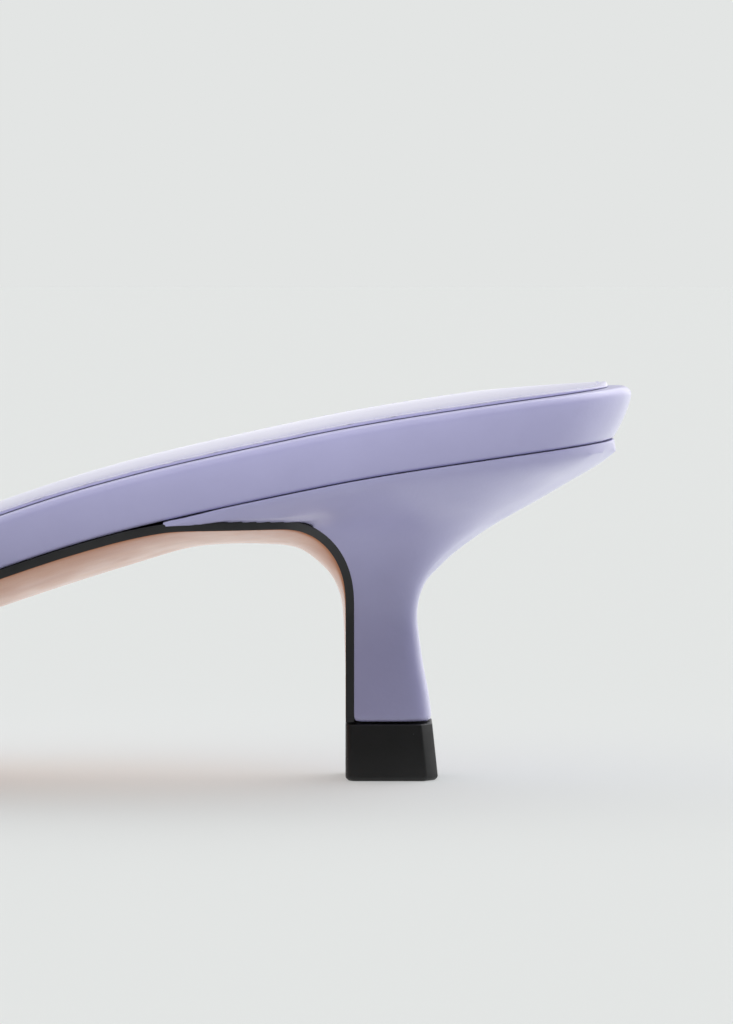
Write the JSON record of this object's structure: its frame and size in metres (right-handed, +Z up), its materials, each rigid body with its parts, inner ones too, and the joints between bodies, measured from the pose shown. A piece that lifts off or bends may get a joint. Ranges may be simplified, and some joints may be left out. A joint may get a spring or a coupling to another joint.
{
  "type": "heeled sandal",
  "caption": "Open slip-on sandal for the left foot, with a wrapped footbed, a low flared heel, a domed thin outsole and a plain band over the forefoot.",
  "frame": {"origin": "on the floor under the middle of the bounding box", "axes": "+Z up from the floor, the toe points to -X and the heel to +X, +Y is the inner side of the foot and -Y the outer side"},
  "size_m": [0.2424, 0.076, 0.0592],
  "materials": {
    "nappa": "smooth lilac nappa, soft sheen",
    "sock_leather": "smooth lilac lining leather",
    "sole_leather": "polished tan sole leather, black painted edge",
    "top_piece": "black moulded rubber, dull"
  },
  "bodies": {
    "root": {"footbed": "nappa", "sock": "sock_leather", "upper_band": "nappa", "heel": "nappa", "outsole": "sole_leather", "top_piece": "top_piece"}
  },
  "joints": []
}
